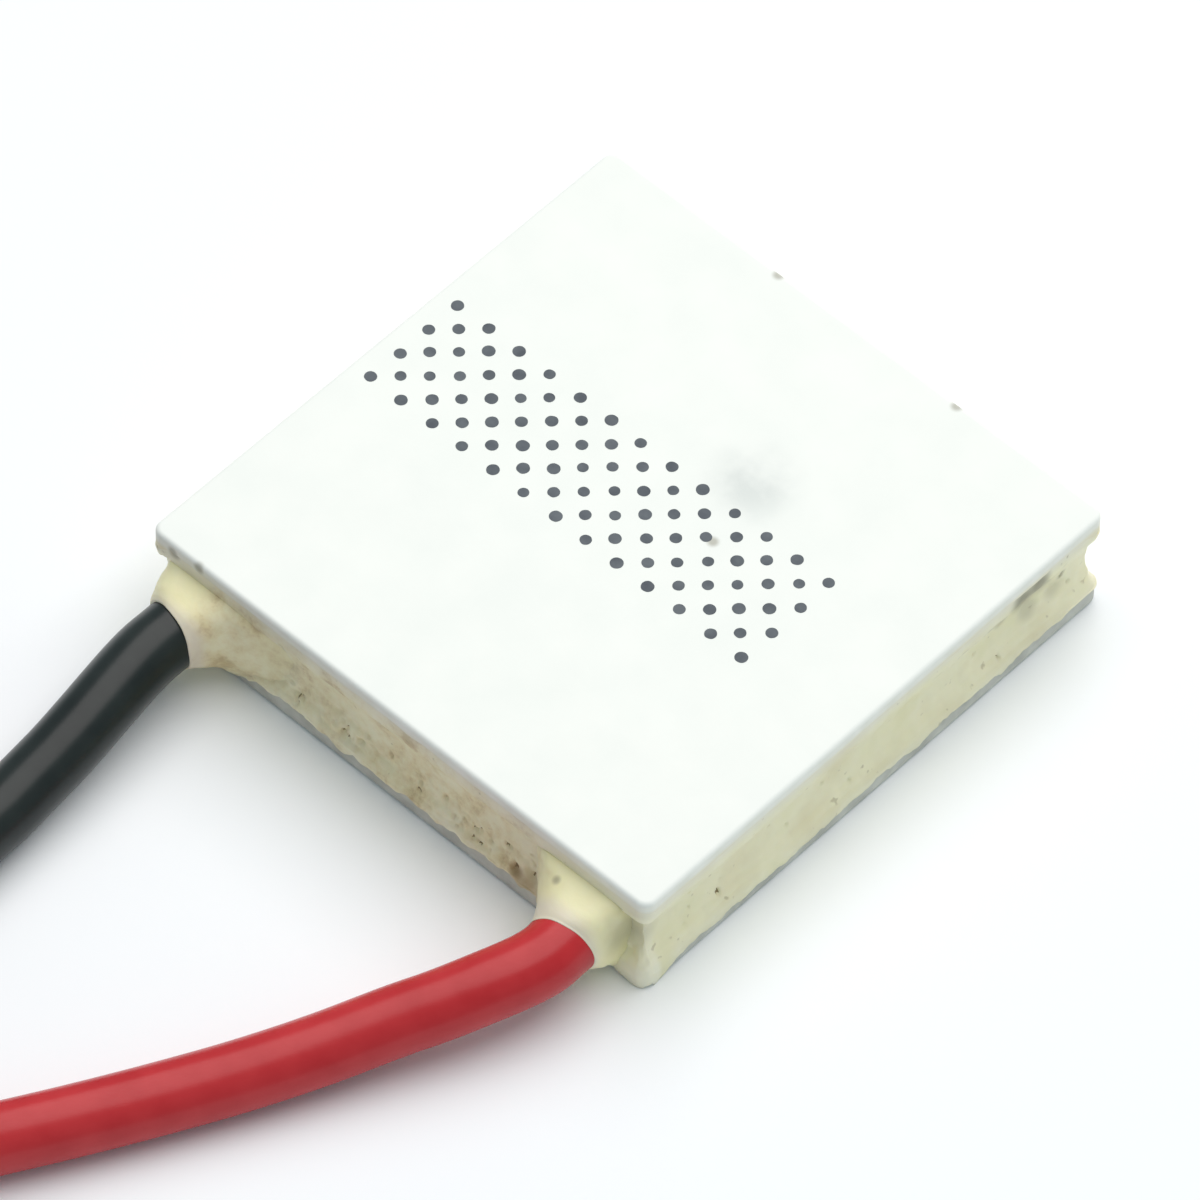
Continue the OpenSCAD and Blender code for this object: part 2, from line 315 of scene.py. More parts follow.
def alumina_paint():
    """White face with a faint smudge; creamy sides, their rounded rim warmed against the bluish
    world light; a lower plate painted greyer as shade near the floor.
    """
    mat, tree, bsdf = material("alumina", 0.55, 0.25)
    coords = tree.nodes.new("ShaderNodeTexCoord")
    paint = ramp_colour(tree, noise_value(tree, coords, 700, MOTTLE_DETAIL), FACE_TONES)
    wisps = ramp_colour(tree, noise_value(tree, coords, 1100, MOTTLE_DETAIL),
                        [(0.35, grey(0.25)), (0.65, grey(1.0))])
    smudge = near_point(tree, coords, SMUDGE_AT, *SMUDGE_REACH)
    paint = mix_colour(tree, product(tree, smudge, wisps, SMUDGE_LEVEL), paint, SMUDGE)
    uneven = noise_value(tree, coords, 1600, MOTTLE_DETAIL)
    for fade, tone in ((RIM_FADE, ramp_colour(tree, uneven, RIM_TONES)), (SMEAR_FADE, SMEARED),
                       (LOWER_SHADE_FADE, ramp_colour(tree, uneven, LOWER_SHADE_TONES))):
        paint = mix_colour(tree, past(tree, coords, "Z", *fade), paint, tone)
    for centre in CHIPS_AT:
        chip = near_point(tree, coords, centre, *CHIP_REACH)
        paint = mix_colour(tree, product(tree, chip, CHIP_LEVEL), paint, CHIP)
    tree.links.new(paint, bsdf.inputs["Base Color"])
    add_grain(tree, bsdf, coords, 6000, 0.0015)
    return mat


# ---------------------------------------------------------------- sealant's paint
CREAM_TONES = [(0.32, srgb(237, 229, 192)), (0.5, srgb(247, 242, 208)),
               (0.68, srgb(241, 236, 194))]
DAB_TONES = [(0.35, srgb(246, 239, 190)), (0.65, srgb(250, 245, 202))]
# Leads' side: yellower, and painted lighter as a stand-in for fill light there; the brown blotches
# below are lifted the same way
LEAD_SIDE_FILL_TONES = [(0.35, srgb(246, 240, 206)), (0.65, srgb(251, 247, 220))]
BROWN_TONES = [(0.34, srgb(208, 188, 142)), (0.45, srgb(240, 228, 186)),
               (0.55, srgb(250, 243, 206)), (0.68, srgb(254, 250, 218))]
PALE = srgb(242, 241, 228)
CRUST = srgb(168, 162, 136)
THIN_FILM = srgb(226, 217, 204)
SPECK = srgb(160, 146, 112)
OLIVE = srgb(140, 136, 112)
UMBER = srgb(140, 112, 74)
# Stretches over which each tone comes in: on the leads' side, between the leads, near the upper
# plate, away from the leads' side, and where a dab thins out over its lead
LEAD_SIDE_FADE = (-6.9, -7.1)
BETWEEN_LEFT = (-5.9, -5.1)
BETWEEN_RIGHT = (4.7, 4.2)
PALE_FADE = (2.5, 2.9)
OFF_LEAD_SIDE_FADE = (-7.8, -6.6)
PALE_LEVEL, PALE_LEVEL_OFF_LEAD_SIDE = 0.25, 0.55
FILM_FADE, FILM_LEVEL = (-8.05, -8.45), 0.7
# Band of crust under the upper plate's edge: each axis with the stretch over which it comes in
CRUST_FADES = [("Z", 1.9, 2.1), ("Z", 2.5, 2.3), ("X", 6.9, 7.1), ("Y", 1.0, 4.0)]
CRUST_LEVEL = 0.6
SPECK_LEVEL = 0.45
# Centre, reach, level and colour of each stain and each patch of painted shade
STAINS_AND_SHADE = [((7.45, 4.75, 2.5), 0.5, 0.9, OLIVE), ((7.45, 5.3, 2.55), 0.5, 0.9, OLIVE),
          ((7.2, 5.15, 1.95), 0.55, 0.9, OLIVE), ((7.2, 5.75, 2.0), 0.5, 0.7, OLIVE),
          ((7.2, 6.15, 1.4), 0.45, 0.35, OLIVE), ((7.2, 5.3, 1.35), 0.45, 0.4, OLIVE),
          ((7.2, 6.37, 1.7), 0.2, 0.8, OLIVE), ((7.2, 4.4, 1.95), 0.4, 0.7, OLIVE),
          # Painted shade on this line: the olive spot in a pore of the red dab and the umber spot in
          # the pit at (3.6, -7.5)
          ((5.2, -7.85, 2.32), 0.16, 0.8, OLIVE), ((3.6, -7.5, 0.76), 0.28, 0.8, UMBER),
          # Painted shade on this line: the wide olive patch over the red dab's side and the recess
          # beside it
          ((3.95, -7.5, 0.55), 0.6, 0.6, UMBER), ((6.85, -7.45, 1.7), 0.95, 0.45, OLIVE),
          ((-6.75, -7.5, 2.85), 0.25, 0.7, OLIVE)]
STAIN_CORE = 0.25


def sealant_tones(tree, coords, film, ragged):
    """Cream; yellower on the leads' side and painted lighter there as fill light; brown blotches
    between the leads, lifted alike; paler at the top.
    """
    wide = noise_value(tree, coords, 500, 3.0)
    cream = ramp_colour(tree, wide, CREAM_TONES)
    yellow = ramp_colour(tree, wide, DAB_TONES if film else LEAD_SIDE_FILL_TONES)
    brown = ramp_colour(tree, noise_value(tree, coords, 1100, 5.0, 0.65), BROWN_TONES)
    # Mask of the leads' side, where the lighter paint stands in for fill light
    lead_side = past(tree, coords, "Y", *LEAD_SIDE_FADE)
    tones = mix_colour(tree, lead_side, cream, yellow)
    between = product(tree, lead_side, past(tree, coords, "X", *BETWEEN_LEFT),
                      past(tree, coords, "X", *BETWEEN_RIGHT), ragged)
    tones = mix_colour(tree, between, tones, brown)
    pale = past(tree, coords, "Z", *PALE_FADE)
    off_lead_side = past(tree, coords, "Y", *OFF_LEAD_SIDE_FADE)
    tones = mix_colour(tree, product(tree, pale, PALE_LEVEL), tones, PALE)
    return mix_colour(tree, product(tree, pale, off_lead_side, PALE_LEVEL_OFF_LEAD_SIDE), tones,
                      PALE)


def sealant_paint(name, film=False):
    """Sealant with its stains, patches of painted shade and crust; specks on the bead, and a whitish
    edge on a film.
    """
    mat, tree, bsdf = material(name, 0.4, 0.4)
    coords = tree.nodes.new("ShaderNodeTexCoord")
    ragged = ramp_colour(tree, noise_value(tree, coords, 420, 3.0),
                         [(0.3, grey(0.55)), (0.6, grey(1.0))])
    paint = sealant_tones(tree, coords, film, ragged)
    for centre, reach, level, colour in STAINS_AND_SHADE:
        patch = near_point(tree, coords, centre, STAIN_CORE * reach, reach)
        paint = mix_colour(tree, product(tree, patch, ragged, level), paint, colour)
    crust = ramp_colour(tree, noise_value(tree, coords, 2600, 3.0),
                        [(0.48, grey(0)), (0.6, grey(1))])
    for fade in CRUST_FADES:
        crust = product(tree, past(tree, coords, *fade), crust)
    paint = mix_colour(tree, product(tree, crust, CRUST_LEVEL), paint, CRUST)
    if film:
        thin = past(tree, coords, "Y", *FILM_FADE)
        paint = mix_colour(tree, product(tree, thin, FILM_LEVEL), paint, THIN_FILM)
    else:
        specks = ramp_colour(tree, noise_value(tree, coords, 3600, 2.0),
                             [(0.68, grey(0)), (0.75, grey(1))])
        paint = mix_colour(tree, product(tree, specks, SPECK_LEVEL), paint, SPECK)
    tree.links.new(paint, bsdf.inputs["Base Color"])
    bsdf.inputs["Subsurface Weight"].default_value = 0.15
    bsdf.inputs["Subsurface Radius"].default_value = (0.4 * MM, 0.3 * MM, 0.15 * MM)
    bsdf.inputs["Subsurface Scale"].default_value = 1.0
    add_grain(tree, bsdf, coords, 5000, 0.006)
    return mat


# ---------------------------------------------------------------- all paints
ALUMINA = alumina_paint()
SEALANT = sealant_paint("sealant")
DAB = sealant_paint("sealant_dab", film=True)
RED_PVC = mottled("red_pvc", [(0.35, srgb(184, 40, 46)), (0.65, srgb(194, 50, 55))], 900, 0.27,
                  specular=0.3, grain=(2500, 0.003))
BLACK_PVC = mottled("black_pvc", [(0.35, srgb(26, 34, 34)), (0.65, srgb(36, 44, 43))], 900, 0.3,
                    specular=0.32, grain=(2500, 0.003))
TIN = mottled("tinned_wire", [(0.35, (0.55, 0.56, 0.58)), (0.65, (0.72, 0.73, 0.74))], 1500, 0.3,
              grain=(4000, 0.004), metallic=1.0)
# Darker brown painted into the pores' middles as their shade
PORE_SHADE = mottled("sealant_pore_shade", [(0.35, srgb(146, 128, 94)), (0.65, srgb(180, 164, 126))], 2500, 0.6)
INK = mottled("ink", [(0.3, srgb(74, 82, 90)), (0.7, srgb(98, 106, 112))], 2500, 0.5, 0.3)
COPPER = mottled("copper", [(0.3, (0.62, 0.3, 0.18)), (0.7, (0.74, 0.4, 0.26))], 900, 0.3,
                 metallic=1.0)
SOLDER = mottled("solder", [(0.3, (0.5, 0.51, 0.53)), (0.7, (0.66, 0.67, 0.68))], 1400, 0.35,
                 metallic=1.0)
PELLET_N = mottled("n_alloy", [(0.3, (0.12, 0.125, 0.13)), (0.7, (0.2, 0.205, 0.215))], 2500, 0.5)
PELLET_P = mottled("p_alloy", [(0.3, (0.16, 0.165, 0.18)), (0.7, (0.26, 0.265, 0.28))], 2500, 0.5)

# ---------------------------------------------------------------- leads
LEAD_D = 1.6
# Length and thickness of the bare tip
TIP = 5.0
CORE_D = 0.76
# Where the insulation leaves the sealant; the black lead is on the other side of the middle
LEAD_X = 6.0
EXIT_Y = -8.6
EXIT_Z = 1.4
# How far a lead sinks from its exit to the floor
FALL = 0.6
# Radius of a coil's outermost turn, and how much smaller each turn is than the one before
COIL_R = 10.2
TURN_STEP = 1.65
# Straight tail after the coil, and the degrees by which it turns in from the coil's end
TAIL = 3.5
TAIL_TURN_IN = 60
# Insulation hidden inside the dab
INSIDE = 0.5
# Bend from the coil to the tail: how far before the coil's end it starts, how far past it it
# ends, and the length of its handles
BEND_BACK = 5.5
BEND_AHEAD = 3.0
BEND_HANDLE = 2.9
# Steps of each stretch of the centreline, and corners of the tube's section
LOOSE_STEPS = 6
STRAIGHT_PARTS = 5
COIL_STEPS = 150
SMALL_TURN = 0.001
BEND_STEPS = 16
TUBE_SIDES = 40
# Distance from a cut end and share of the full radius there, for the cut's worn edge
CUT_EDGE = [(0.0, 0.84), (0.02, 0.93), (0.05, 0.98), (0.1, 1.0)]
# Bare tip: how far it starts inside the insulation, its steps and sides, the share of its length
# that is rounded off, and the square of the radius share that is left at its end
TIP_INSIDE = 0.3
TIP_STEPS = 40
TIP_SIDES = 24
TIP_END_SHARE = 1 / 16
TIP_BLUNT = 0.02
# Direction in degrees in which each lead meets its coil from the coil's centre, and its turns
RED_JOIN, RED_TURNS = 306, 2.58
BLACK_JOIN, BLACK_TURNS = 2.5, 2.4

# Points from the exit on: x, y, share of the fall and, for red, share of the rise on to the
# black coil
RED_ROUTE = [
    (0, 0, 0), (0, -0.5, 0), (-0.15, -1.1, 0.04), (-0.5, -2, 0.14), (-0.9, -2.9, 0.3),
    (-1.35, -3.8, 0.46), (-2.1, -5.4, 0.76), (-2.9, -7, 0.94), (-3.75, -8.6, 1),
    (-4.6, -10.15, 1), (-5.5, -11.7, 1), (-6.3, -13, 1, 0), (-7.2, -14.25, 1, 0.12),
    (-8.2, -15.4, 1, 0.42), (-9.25, -16.55, 1, 0.8), (-10.35, -17.65, 1, 1),
    (-11.5, -18.65, 1, 1), (-12.7, -19.6, 1, 1),
]
BLACK_ROUTE = [
    (0, 0, 0), (0, -0.5, 0), (0.05, -1.1, 0.04), (0.15, -1.9, 0.14), (0.25, -2.7, 0.28),
    (0.35, -3.7, 0.48), (0.4, -4.7, 0.68), (0.45, -5.5, 0.82), (0.45, -6.1, 0.9),
    (0.48, -6.7, 0.96), (0.52, -7.3, 1), (0.55, -7.9, 1), (0.57, -8.4, 1), (0.6, -8.9, 1),
    (0.62, -9.35, 1), (0.63, -9.75, 1),
]


def bearing(degrees):
    return Vector((math.cos(math.radians(degrees)), math.sin(math.radians(degrees)), 0))


def lead_line(x, route, join, turns, radius, base):
    """Centreline of a lead from its exit to its cut end, and the tip's direction."""
    loose = [Vector((x, EXIT_Y + INSIDE, EXIT_Z))]
    loose += [Vector((x + p[0], EXIT_Y + p[1],
                      EXIT_Z - p[2] * FALL + (p[3] * TURN_STEP if len(p) > 3 else 0)))
              for p in route]
    run = math.sqrt((radius + LEAD_D / 2) ** 2 - radius ** 2)
    start = loose[-1] + run * bearing(join - 90)
    straight = [loose[-1].lerp(start, k / STRAIGHT_PARTS) for k in range(1, STRAIGHT_PARTS + 1)]
    centre = start - radius * bearing(join)

    def on_coil(turn):
        return centre + (radius - turn * TURN_STEP) * bearing(join - 360 * turn)

    end = on_coil(turns)
    sink = base + (LEAD_D - CORE_D) / 2 if base else 0
    lean = math.asin(sink / (TAIL + TIP - CORE_D / 2))
    out = (bearing(join - 360 * turns - 90 - TAIL_TURN_IN) * math.cos(lean)
           - Vector((0, 0, math.sin(lean))))
    leave = turns - BEND_BACK / (2 * math.pi * (radius - turns * TURN_STEP))
    coil = [on_coil(leave * i / COIL_STEPS) for i in range(1, COIL_STEPS + 1)]
    ahead = (on_coil(leave) - on_coil(leave - SMALL_TURN)).normalized()
    bend_end = end + out * BEND_AHEAD
    bend = bezier(coil[-1], coil[-1] + ahead * BEND_HANDLE, bend_end - out * BEND_HANDLE, bend_end,
                  BEND_STEPS)
    return catmull_rom(loose + straight, LOOSE_STEPS) + coil + bend + [end + out * TAIL], out


def with_cut_ends(line):
    """The line and its radii, with the points that wear off the edges of both cut ends."""
    ahead = (line[1] - line[0]).normalized()
    back = (line[-1] - line[-2]).normalized()
    head = [line[0] + ahead * d for d, _ in CUT_EDGE]
    foot = [line[-1] - back * d for d, _ in reversed(CUT_EDGE)]
    lip = CUT_EDGE[-1][0]
    body = line[1:-1]
    while (body[0] - line[0]).length < lip:
        body.pop(0)
    while (line[-1] - body[-1]).length < lip:
        body.pop()
    shares = [share for _, share in CUT_EDGE]
    radii = [LEAD_D / 2 * share for share in shares + [1.0] * len(body) + shares[::-1]]
    return head + body + foot, radii


def make_lead(name, x, route, join, turns, radius, base, paint):
    """Insulated lead and its bare tip. Base is the height of its coil above the floor."""
    line, out = lead_line(x, route, join, turns, radius, base)
    path, radii = with_cut_ends(line)
    tube = sweep(name + "_tube", [p * MM for p in path], [r * MM for r in radii], TUBE_SIDES,
                 paint)
    tip_line = [line[-1] - out * TIP_INSIDE + out * (TIP + TIP_INSIDE) * i / TIP_STEPS
                for i in range(TIP_STEPS + 1)]
    tip_radii = [CORE_D / 2 * math.sqrt(min(1, max(TIP_BLUNT, (1 - i / TIP_STEPS) / TIP_END_SHARE)))
                 for i in range(TIP_STEPS + 1)]
    tip = sweep(name + "_bare_end", [p * MM for p in tip_line], [r * MM for r in tip_radii],
                TIP_SIDES, TIN)
    for piece in (tube, tip):
        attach(piece, "root")
    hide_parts(name, name + "_coil")
    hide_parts(name + "_tip")


# The red coil lies on the black one, half a step smaller
make_lead("red_lead", LEAD_X, RED_ROUTE, RED_JOIN, RED_TURNS, COIL_R - TURN_STEP / 2, TURN_STEP,
          RED_PVC)
make_lead("black_lead", -LEAD_X, BLACK_ROUTE, BLACK_JOIN, BLACK_TURNS, COIL_R, 0, BLACK_PVC)


# ---------------------------------------------------------------- perimeter sealant
RIM_R = 0.3
LEAST_CORNER_R = 0.03
# Height at which the bead meets the upper plate, and depth of its hidden inner wall
BEAD_TOP = GAP_HI + 0.01
WALL = (HOT_HI[0] - SEAL_HI[0]) / MM + 0.72
SIDE_COLUMNS = 320
CORNER_COLUMNS = 12
SMEAR_ROWS = 10
PROFILE_ROWS = 44
# Share of the profile's rows that lies in the gap; the rest is smeared over the lower plate
KNEE = 0.82
# Depth behind the plates' rim at each share of the way down, from the upper plate to the smear
PROFILE = [(0, -0.012), (0.05, 0.02), (0.2, 0.23), (0.4, 0.29), (0.55, 0.27), (0.68, 0.2),
           (0.76, 0.1), (0.82, 0.02), (0.88, -0.03), (1, -0.035)]
# Depth of the smear over the upper plate at its upper end, and how much thicker it gets below
SMEAR_START, SMEAR_GROWTH = 0.01, 0.022
SMEAR_GROWTH_ROWS = 7
# A smear stands out at least this far over the lower plate
LOWER_SMEAR = 0.012
# Depths of the bead's back behind its two smears, and how far the back laps over the plates
LOWER_BACK, UPPER_BACK, LAP = 0.05, 0.03, 0.02

# Ripples of the bead's surface: height, rate and shift; the roughness is coarser and the clots
# are only at the foot of side 0
SWELLS = (0.05, 0.7)
LUMPS = (0.03, 2.3, (5, 1, 2))
ROUGHNESS = (0.008, 7, (1, 9, 4))
FOOT_ROUGHNESS = (0.03, 7, (1, 9, 4))
FOOT_TOP = 1.3
CLOTS = (0.11, 2.9, (3, 8, 1))
CLOTS_AT, CLOTS_REACH = 0.85, 0.5
# The ripples come in over this share of the way down and are calmer on the lower smear
RIPPLES_OVER = 1 / 8
CALM_FROM, CALM_SHARE = 0.8, 0.45

# Heights of the smears' ends: on the leads' side and elsewhere, lowest and highest
LOWER_END_LEAD_SIDE, LOWER_END = 0.46, 0.38
LOWER_END_LIMITS = (0.03, 0.57)
UPPER_END_LEAD_SIDE, UPPER_END = 2.92, 2.84
UPPER_END_LIMITS = (2.66, 2.97)
UPPER_END_AT_CORNER = 2.53
# Wander of the smears' ends as height, rate and layer of the noise, and scallops on side 0
LOWER_WANDER = (0.2, 0.9, 3.1)
UPPER_WANDER = (0.08, 1.3, 9.4)
WANDER_DETAIL = (0.8, 2.1, 4)
SCALLOPS = (0.12, 2.6, (0, 0, 7.7))
# On side 1 the lower smear's end rises by this much, from this place on and over this length
SIDE_RISE, SIDE_RISE_FROM, SIDE_RISE_OVER = 0.16, -3, 7
# It drops near the front corner and below the black lead: by how much, and over what distance
FRONT_DROP, FRONT_DROP_OVER = 0.42, 1.5
BLACK_DROP, BLACK_DROP_AT, BLACK_DROP_OVER = 0.3, -5.6, 1.6
# The upper smear leaves this much of each corner bare and eases in next to it, but it runs
# round the front corner within this reach
CORNER_BARE, CORNER_EASE = 0.2, 0.4
FRONT_REACH = 3

# Pores given one by one: side, place along it, height, radius along and up, depth.
# Side 0 faces -Y, side 1 +X, side 2 +Y and side 3 -X.
PORES = [
    (0, -4.5, 0.78, 0.09, 0.06, 0.12), (0, -4.1, 0.85, 0.06, 0.06, 0.12),
    (0, -3.85, 0.76, 0.05, 0.05, 0.1), (0, -3.1, 0.82, 0.06, 0.05, 0.12),
    (0, -1.7, 0.8, 0.1, 0.08, 0.12), (0, -3.5, 2.42, 0.06, 0.07, 0.1),
    (0, 3.55, 0.8, 0.1, 0.14, 0.1),
    (0, -6.95, 2.3, 0.28, 0.12, 0.2), (0, -1.2, 0.85, 0.12, 0.08, 0.12),
    (0, 0.6, 0.8, 0.1, 0.06, 0.1), (0, 2.3, 0.9, 0.1, 0.08, 0.1),
    (1, -4.9, 0.95, 0.07, 0.1, 0.12), (1, 2.7, 1.97, 0.09, 0.09, 0.14),
    (1, 3.5, 1.5, 0.06, 0.09, 0.1), (1, 4.2, 0.78, 0.06, 0.06, 0.12),
    (1, 6.37, 1.7, 0.08, 0.1, 0.12),
    (2, -3.2, 1.4, 0.1, 0.12, 0.15), (2, 2.6, 2.2, 0.14, 0.1, 0.15), (2, 5.4, 1.0, 0.07, 0.08, 0.1),
    (3, -2.4, 1.9, 0.09, 0.1, 0.14), (3, 3.8, 1.1, 0.12, 0.1, 0.14), (3, 1.2, 2.3, 0.1, 0.07, 0.12),
]
# Scattered pores: how many on each side, and the share of side 0's that lies low. Then their
# heights, places and radii, how long they are for their radius, and how deep
SCATTER = ((0, 70), (1, 20), (2, 18), (3, 18))
LOW_SHARE = 0.8
LOW_HEIGHTS, HEIGHTS = (0.68, 1.2), (0.8, 2.4)
LEAD_SIDE_PLACES, PLACES = (-4.6, 4.4), (-7, 7)
LOW_RADII, RADII = (0.022, 0.06), (0.022, 0.045)
LENGTHS, PORE_DEEP = (0.8, 1.8), 1.7
# A pore's edge: its ripple, how far out it is looked for, its roundness, and the share of its radius
# whose middle is painted dark as the pore's shade
PORE_EDGE = (0.3, 14)
PORE_REACH = 1.2
PORE_ROUND = 0.7
PORE_SHADE_SHARE = 0.8
# Shallow hollows under the upper plate's edge on side 1: place, height, radius along and up, depth
HOLLOWS = [(5.1, 1.9, 0.4, 0.3, 0.05), (5.7, 1.95, 0.36, 0.25, 0.04),
           (6.15, 1.4, 0.3, 0.16, 0.06), (5.3, 1.4, 0.25, 0.25, 0.06)]
HOLLOW_FALL = 1.5


def share(value):
    """The value, held between 0 and 1."""
    return min(1.0, max(0.0, value))


def ripple(spot, height, rate, shift=(0, 0, 0)):
    """Smooth random height at a spot; the shift tells ripples of one rate apart."""
    return height * noise.noise(spot * rate + Vector(shift))


def wander(spot, height, rate, layer):
    """Random height along the rim, in several scales at once."""
    return height * noise.fractal(Vector((spot.x * rate, spot.y * rate, layer)), *WANDER_DETAIL)


def scattered_pores():
    """Small pores: many low on the side of the leads, few elsewhere."""
    rnd = random.Random(7)
    made = []
    for side, count in SCATTER:
        for _ in range(count):
            low = side == 0 and rnd.random() < LOW_SHARE
            z = rnd.uniform(*(LOW_HEIGHTS if low else HEIGHTS))
            r = rnd.uniform(*(LOW_RADII if low else RADII))
            x = rnd.uniform(*(LEAD_SIDE_PLACES if side == 0 else PLACES))
            made.append((side, x, z, r * rnd.uniform(*LENGTHS), r, r * PORE_DEEP))
    return made


def interpolate(table, t):
    """Value at t in a table of (place, value), with a smooth step between its rows."""
    for (a, va), (b, vb) in zip(table, table[1:]):
        if t <= b:
            k = (t - a) / (b - a)
            k = k * k * (3 - 2 * k)
            return va + (vb - va) * k
    return table[-1][1]


def rim_columns():
    """(side, along, corner share) of each column round the module; share is None on a side."""
    half = HALF - RIM_R
    for side in range(4):
        for i in range(SIDE_COLUMNS):
            yield side, -half + 2 * half * i / SIDE_COLUMNS, None
        for i in range(CORNER_COLUMNS):
            yield side, half, i / CORNER_COLUMNS


def rim_point(side, along, corner, depth, z):
    """Point at that depth behind the rim. Depth shrinks the square and its corner radius."""
    half = HALF - depth
    r = max(RIM_R - depth, LEAST_CORNER_R)
    if corner is None:
        x, y = along * (half - r) / (HALF - RIM_R), -half
    else:
        a = math.radians(90 * corner)
        x, y = half - r + r * math.sin(a), -(half - r) - r * math.cos(a)
    for _ in range(side):
        x, y = -y, x
    return Vector((x, y, z))


def from_front_corner(spot):
    return (spot - Vector((HALF, -HALF, 0))).length


def lower_smear_end(spot, side):
    """Height down to which the sealant is smeared over the lower plate's side."""
    end = LOWER_END_LEAD_SIDE if side == 0 else LOWER_END
    end += wander(spot, *LOWER_WANDER)
    if side == 0:
        end += ripple(spot, *SCALLOPS)
        end -= BLACK_DROP * share(1 - abs(spot.x - BLACK_DROP_AT) / BLACK_DROP_OVER)
    if side == 1:
        end += SIDE_RISE * share((spot.y - SIDE_RISE_FROM) / SIDE_RISE_OVER)
    end -= FRONT_DROP * share(1 - from_front_corner(spot) / FRONT_DROP_OVER)
    lowest, highest = LOWER_END_LIMITS
    return min(highest, max(lowest, end))


def upper_smear_end(spot, side):
    """Height up to which the sealant is smeared over the upper plate's side."""
    end = UPPER_END_LEAD_SIDE if side == 0 else UPPER_END
    lowest, highest = UPPER_END_LIMITS
    end = min(highest, max(lowest, end + wander(spot, *UPPER_WANDER)))
    if from_front_corner(spot) < FRONT_REACH:
        return end
    to_corner = HALF - min(abs(spot.x), abs(spot.y))
    rise = share((to_corner - CORNER_BARE) / CORNER_EASE)
    return UPPER_END_AT_CORNER + (end - UPPER_END_AT_CORNER) * rise


def hollow_depth(side, along, z):
    """Depth of the hollows on side 1."""
    if side != 1:
        return 0.0
    return sum(deep * math.exp(-HOLLOW_FALL * (((along - x) / rx) ** 2 + ((z - at) / rz) ** 2))
               for x, at, rx, rz, deep in HOLLOWS)


def ripple_depth(spot, side, z):
    """Swells, lumps and roughness of the bead's surface."""
    rough = FOOT_ROUGHNESS if side == 0 and z < FOOT_TOP else ROUGHNESS
    return ripple(spot, *SWELLS) + ripple(spot, *LUMPS) + ripple(spot, *rough)


def clot_depth(spot, side, z):
    """Depth or height of the clots along the foot of side 0."""
    if side != 0:
        return 0.0
    return share(1 - abs(z - CLOTS_AT) / CLOTS_REACH) * ripple(spot, *CLOTS)


def pore_depth(spot, along, z, pores):
    """Depth of the pores at a spot, and whether it is in the middle of one, which gets painted
    shade.
    """
    depth, inside = 0.0, False
    for _, x, at, rx, rz, deep in pores:
        u, v = (along - x) / rx, (z - at) / rz
        if abs(u) < PORE_REACH and abs(v) < PORE_REACH:
            away = math.sqrt(u * u + v * v) * (1 + ripple(spot, *PORE_EDGE))
            if away < 1:
                depth += deep * (1 - away * away) ** PORE_ROUND
                inside = inside or away < PORE_SHADE_SHARE
    return depth, inside


def bead_column(side, along, corner, pores):
    """Points of the bead's section at one place of the rim, each with whether it is in a pore's
    middle, which gets painted shade.
    """
    at = rim_point(side, along, corner, 0, 0)
    end = lower_smear_end(at, side)
    head = upper_smear_end(at, side)
    rows = []
    for k in range(SMEAR_ROWS):
        depth = SMEAR_START - SMEAR_GROWTH * share(k / SMEAR_GROWTH_ROWS)
        rows.append((depth, head + (BEAD_TOP - head) * k / SMEAR_ROWS, False))
    for k in range(PROFILE_ROWS):
        t = k / (PROFILE_ROWS - 1)
        if t < KNEE:
            z = BEAD_TOP + (GAP_LO - BEAD_TOP) * t / KNEE
        else:
            z = GAP_LO + (end - GAP_LO) * (t - KNEE) / (1 - KNEE)
        spot = Vector((at.x, at.y, z))
        free = share(t / RIPPLES_OVER) * (1.0 if t < CALM_FROM else CALM_SHARE)
        depth = interpolate(PROFILE, t) + free * ripple_depth(spot, side, z)
        depth += clot_depth(spot, side, z) + free * hollow_depth(side, along, z)
        inside = False
        if corner is None:
            deep, inside = pore_depth(spot, along, z, pores)
            depth += deep
        if z < GAP_LO + LAP:
            depth = min(depth, -LOWER_SMEAR)
        rows.append((depth, z, inside))
    # The hidden back: behind the lower smear, round the inner wall, behind the upper smear
    for depth, z in ((LOWER_BACK, end + LAP), (LOWER_BACK, GAP_LO - LAP), (WALL, GAP_LO - LAP),
                     (WALL, BEAD_TOP), (UPPER_BACK, BEAD_TOP), (UPPER_BACK, head - LAP)):
        rows.append((depth, z, False))
    return [(rim_point(side, along, corner, depth, z), inside) for depth, z, inside in rows]


def make_sealant():
    """Bead round the gap, with a smear over each plate's side and the middles of its pores painted
    dark as shade.
    """
    pores = PORES + scattered_pores()
    by_side = [[pore for pore in pores if pore[0] == side] for side in range(4)]
    columns = [bead_column(side, along, corner, by_side[side])
               for side, along, corner in rim_columns()]
    points = [point for column in columns for point, _ in column]
    in_pore_shade = [inside for column in columns for _, inside in column]
    faces = grid_faces(len(columns), len(columns[0]), close_rings=True)
    bead = add_mesh("sealant_bead", [p * MM for p in points], faces, SEALANT)
    # Faces in a pore's middle take the painted pore shade
    bead.data.materials.append(PORE_SHADE)
    for polygon in bead.data.polygons:
        if sum(in_pore_shade[v] for v in polygon.vertices) >= 3:
            polygon.material_index = 1
    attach(bead, "root")
    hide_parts("perimeter_sealant")


make_sealant()

# ---------------------------------------------------------------- dabs round the leads' ends
DAB_SIDES = 120
DAB_RINGS = 60
# Distances out from the plates' rim: start inside the bead, end of the blob's fall to the film
DAB_START = -0.36
DAB_BODY = 1.0
FILM = 0.02
DAB_FOOT = 0.08
DAB_TOP = GAP_HI - 0.01
